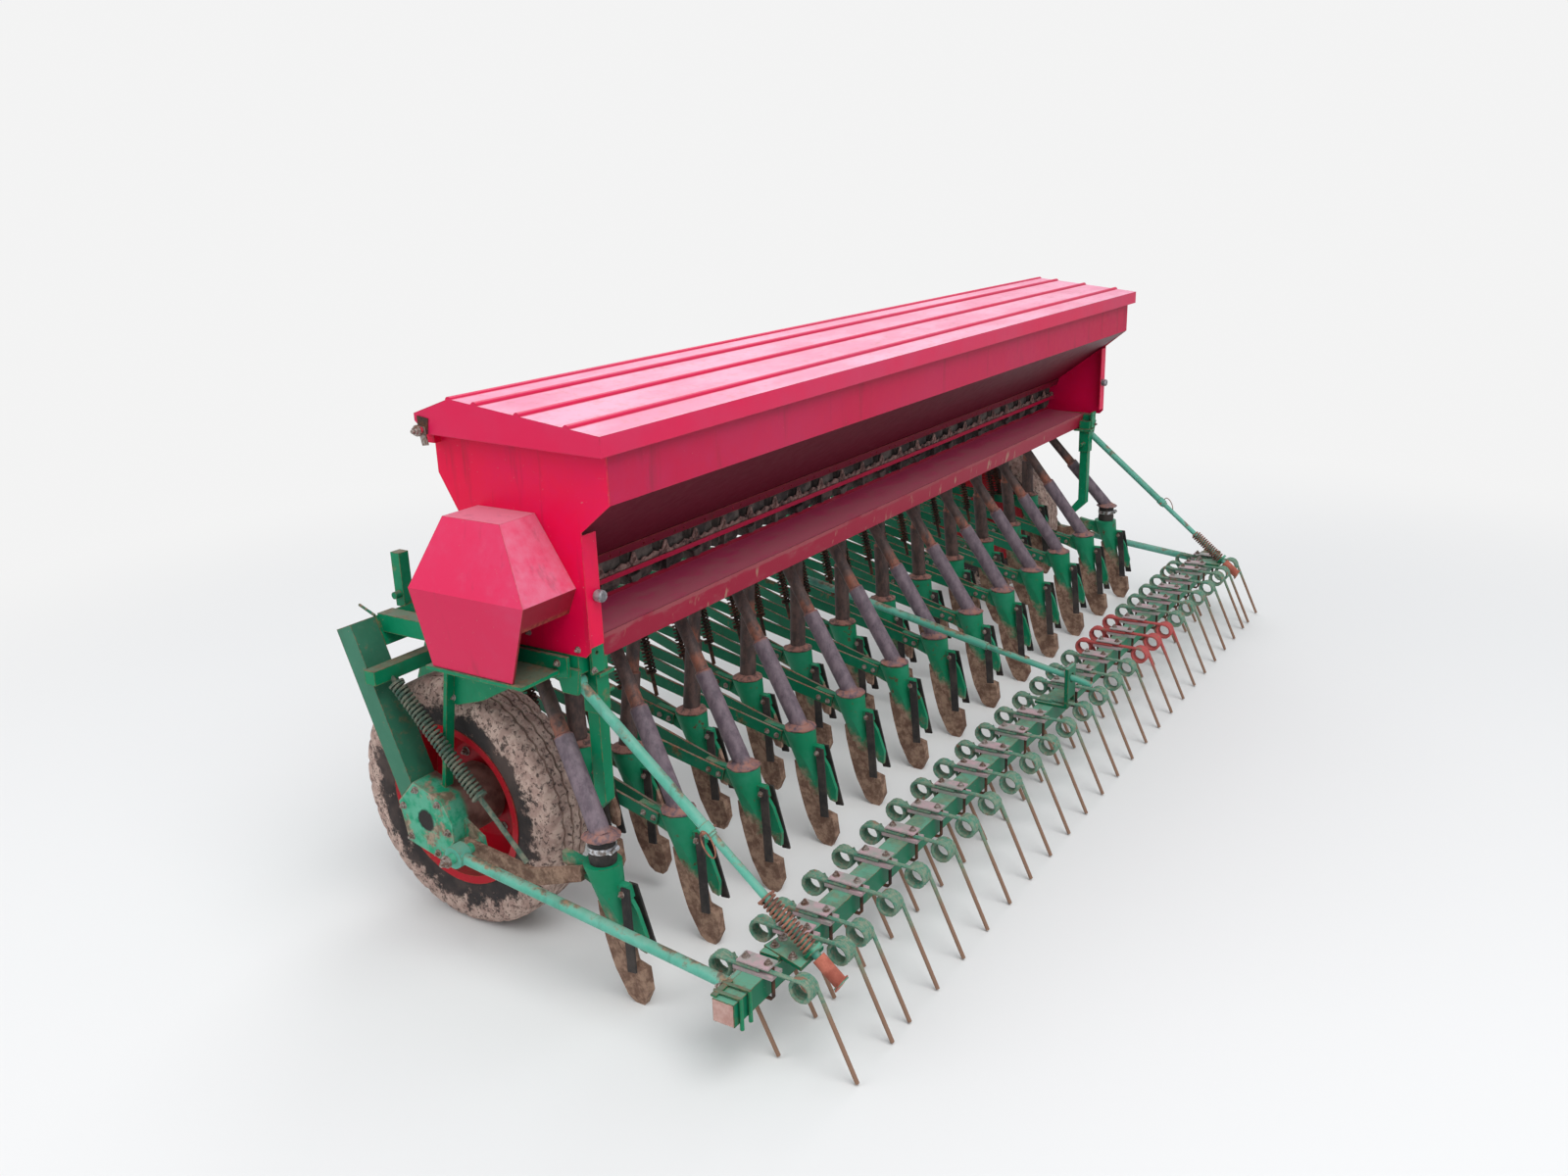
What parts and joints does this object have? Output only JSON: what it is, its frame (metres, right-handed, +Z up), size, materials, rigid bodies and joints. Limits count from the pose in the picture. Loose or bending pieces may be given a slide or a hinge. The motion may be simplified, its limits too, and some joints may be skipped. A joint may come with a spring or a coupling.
{
  "type": "mounted seed drill with following tine harrow",
  "caption": "Tractor-mounted seed drill: long sheet-metal hopper over rows of sprung coulters fed by seed tubes, two road wheels and a trailing spring-tine harrow.",
  "frame": {"origin": "middle of the footprint, on the ground under the tyres", "axes": "+X to the machine's right, along its long side; +Y forwards, the way it is carried; +Z up"},
  "size_m": [3.14, 1.3596, 1.166],
  "materials": {
    "red_paint": "worn gloss",
    "dark_red": "dusty",
    "green_paint": "worn satin",
    "mint_paint": "faded",
    "zinc": "dull zinc",
    "rusty_steel": "rusty",
    "muddy_iron": "caked with dry mud",
    "tube_plastic": "dusty",
    "black_rubber": "dull",
    "tyre_rubber": "dusty"
  },
  "bodies": {
    "frame": {"rear_sheet": "red_paint", "front_sheet": "red_paint", "hopper_ends": "red_paint", "agitator": "zinc", "metering_units": "zinc", "feed_shaft": "zinc", "shutters": "dark_red", "meter_strips": "red_paint", "tray": "red_paint", "gear_cover": "red_paint", "front_beam": "green_paint", "wheel_arms": "green_paint", "side_frames": "green_paint", "hub_boxes": "mint_paint", "headstock": "green_paint", "pivot_shaft": "rusty_steel", "pressure_shaft": "green_paint", "pressure_springs": "rusty_steel", "coulter_bodies": "green_paint", "coulter_shoes": "muddy_iron", "coulter_strips": "black_rubber", "arms_rear": "green_paint", "arms_front": "green_paint", "outer_arms": "muddy_iron", "tubes_rear": "tube_plastic", "tubes_front": "tube_plastic", "boots": "black_rubber"},
    "lid": {"lid": "red_paint"},
    "wheel_left": {"tyre_left": "tyre_rubber", "rim_left": "red_paint"},
    "wheel_right": {"tyre_right": "tyre_rubber", "rim_right": "red_paint"},
    "stand_left": {"stand_left": "green_paint"},
    "stand_right": {"stand_right": "green_paint"},
    "harrow": {"harrow_beam": "green_paint", "harrow_clamps": "mint_paint", "tines_front": "mint_paint", "tines_rear": "mint_paint", "harrow_arms": "mint_paint", "link_brackets": "mint_paint"},
    "link_left": {"link_left": "mint_paint", "spring_left": "rusty_steel"},
    "link_right": {"link_right": "mint_paint", "spring_right": "rusty_steel"},
    "link_middle": {"link_middle": "mint_paint"}
  },
  "joints": [
    {"name": "lid_hinge", "type": "hinge", "parent": "frame", "child": "lid", "pos_m": [0, 0.242, 1.1], "axis": [-1, 0, 0], "range_deg": [0, 95]},
    {"name": "wheel_left_spin", "type": "hinge", "parent": "frame", "child": "wheel_left", "pos_m": [-1.3425, 0.324, 0.28], "axis": [-1, 0, 0], "continuous": true},
    {"name": "wheel_right_spin", "type": "hinge", "parent": "frame", "child": "wheel_right", "pos_m": [1.3425, 0.324, 0.28], "axis": [-1, 0, 0], "continuous": true},
    {"name": "stand_left_slide", "type": "slide", "parent": "frame", "child": "stand_left", "axis": [0, 0, -1], "range_m": [0, 0.085]},
    {"name": "stand_right_slide", "type": "slide", "parent": "frame", "child": "stand_right", "axis": [0, 0, -1], "range_m": [0, 0.085]},
    {"name": "harrow_swing", "type": "hinge", "parent": "frame", "child": "harrow", "pos_m": [0, 0.215, 0.24], "axis": [-1, 0, 0], "range_deg": [0, 5]},
    {"name": "link_left_swing", "type": "hinge", "parent": "frame", "child": "link_left", "pos_m": [-1.392, -0.05, 0.63], "axis": [-1, 0, 0], "range_deg": [-2, 6], "deforming": ["spring_left"]},
    {"name": "link_right_swing", "type": "hinge", "parent": "frame", "child": "link_right", "pos_m": [1.392, -0.05, 0.63], "axis": [-1, 0, 0], "range_deg": [-2, 6], "deforming": ["spring_right"]},
    {"name": "link_middle_swing", "type": "hinge", "parent": "frame", "child": "link_middle", "pos_m": [-0.055, 0.46, 0.458], "axis": [-1, 0, 0], "range_deg": [-2, 5]}
  ],
  "couplings": [
    {"joint": "link_left_swing", "follows": "harrow_swing", "ratio": 0.955},
    {"joint": "link_right_swing", "follows": "harrow_swing", "ratio": 0.955},
    {"joint": "link_middle_swing", "follows": "harrow_swing", "ratio": 0.725}
  ]
}
